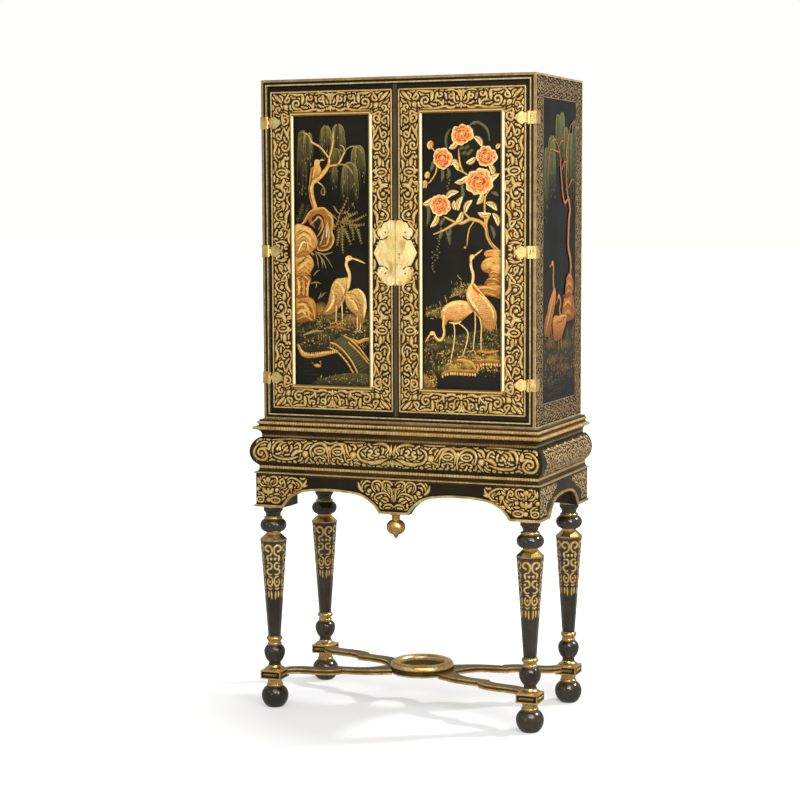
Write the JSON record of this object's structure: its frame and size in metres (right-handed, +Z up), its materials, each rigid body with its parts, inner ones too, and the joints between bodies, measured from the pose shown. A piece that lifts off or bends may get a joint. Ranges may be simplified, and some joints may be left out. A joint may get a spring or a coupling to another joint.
{
  "type": "cabinet on stand",
  "caption": "Two-door cupboard on a moulded stand with arched aprons, turned tapering legs, a cross stretcher and ball feet; doors, lock bolt and door bolts move.",
  "frame": {"origin": "on the floor, under the middle of the outline seen from above", "axes": "+Z up, +Y to the back, so the doors face -Y; +X to the viewer's right"},
  "size_m": [0.807, 0.426, 1.65],
  "materials": {
    "black_japan": "black japanned, polished",
    "gilding": "gilded",
    "oak": "plain oak",
    "brass": "polished",
    "iron": "satin"
  },
  "bodies": {
    "body": {"carcase_left_side": "black_japan", "carcase_right_side": "black_japan", "carcase_top": "black_japan", "carcase_bottom": "black_japan", "carcase_back": "black_japan", "shelf_lower": "black_japan", "shelf_upper": "black_japan", "shelf_pins": "brass", "hinge_case_leaves": "brass", "surbase_moulding_front": "black_japan", "surbase_moulding_left": "black_japan", "surbase_moulding_right": "black_japan", "frieze_front": "black_japan", "frieze_left": "black_japan", "frieze_right": "black_japan", "lower_moulding_front": "black_japan", "lower_moulding_left": "black_japan", "lower_moulding_right": "black_japan", "apron_front": "black_japan", "apron_left": "black_japan", "apron_right": "black_japan", "stand_back": "black_japan", "apron_edge_beads": "gilding", "apron_finial": "gilding", "stand_top_board": "oak", "stand_corner_blocks": "oak", "leg_front_left": "black_japan", "ball_foot_front_left": "black_japan", "stretcher_arm_front_left": "black_japan", "leg_front_right": "black_japan", "ball_foot_front_right": "black_japan", "stretcher_arm_front_right": "black_japan", "leg_back_left": "black_japan", "ball_foot_back_left": "black_japan", "stretcher_arm_back_left": "black_japan", "leg_back_right": "black_japan", "ball_foot_back_right": "black_japan", "stretcher_arm_back_right": "black_japan", "stretcher_ring": "gilding"},
    "left_door": {"left_door_meeting_stile": "black_japan", "left_door_hinge_stile": "black_japan", "left_door_top_rail": "black_japan", "left_door_bottom_rail": "black_japan", "left_door_panel": "black_japan", "left_door_panel_bead": "gilding", "left_door_hinge_leaves": "brass", "left_door_bolt_fittings": "brass", "left_lock_plate": "brass"},
    "right_door": {"right_door_meeting_stile": "black_japan", "right_door_hinge_stile": "black_japan", "right_door_top_rail": "black_japan", "right_door_bottom_rail": "black_japan", "right_door_panel": "black_japan", "right_door_panel_bead": "gilding", "right_door_hinge_leaves": "brass", "right_lock_plate": "brass", "lock_case": "iron"},
    "lock_bolt": {"lock_bolt": "brass"},
    "flush_bolt_top": {"flush_bolt_top": "brass"},
    "flush_bolt_bottom": {"flush_bolt_bottom": "brass"}
  },
  "joints": [
    {"name": "left_door_hinge", "type": "hinge", "parent": "body", "child": "left_door", "pos_m": [-0.3555, -0.1879, 1.21], "axis": [0, 0, -1], "range_deg": [0, 175]},
    {"name": "right_door_hinge", "type": "hinge", "parent": "body", "child": "right_door", "pos_m": [0.3555, -0.1879, 1.21], "axis": [0, 0, 1], "range_deg": [0, 175]},
    {"name": "lock_bolt_slide", "type": "slide", "parent": "right_door", "child": "lock_bolt", "axis": [-1, 0, 0], "range_m": [0, 0.016]},
    {"name": "flush_bolt_top_slide", "type": "slide", "parent": "left_door", "child": "flush_bolt_top", "axis": [0, 0, 1], "range_m": [0, 0.014]},
    {"name": "flush_bolt_bottom_slide", "type": "slide", "parent": "left_door", "child": "flush_bolt_bottom", "axis": [0, 0, -1], "range_m": [0, 0.014]}
  ]
}
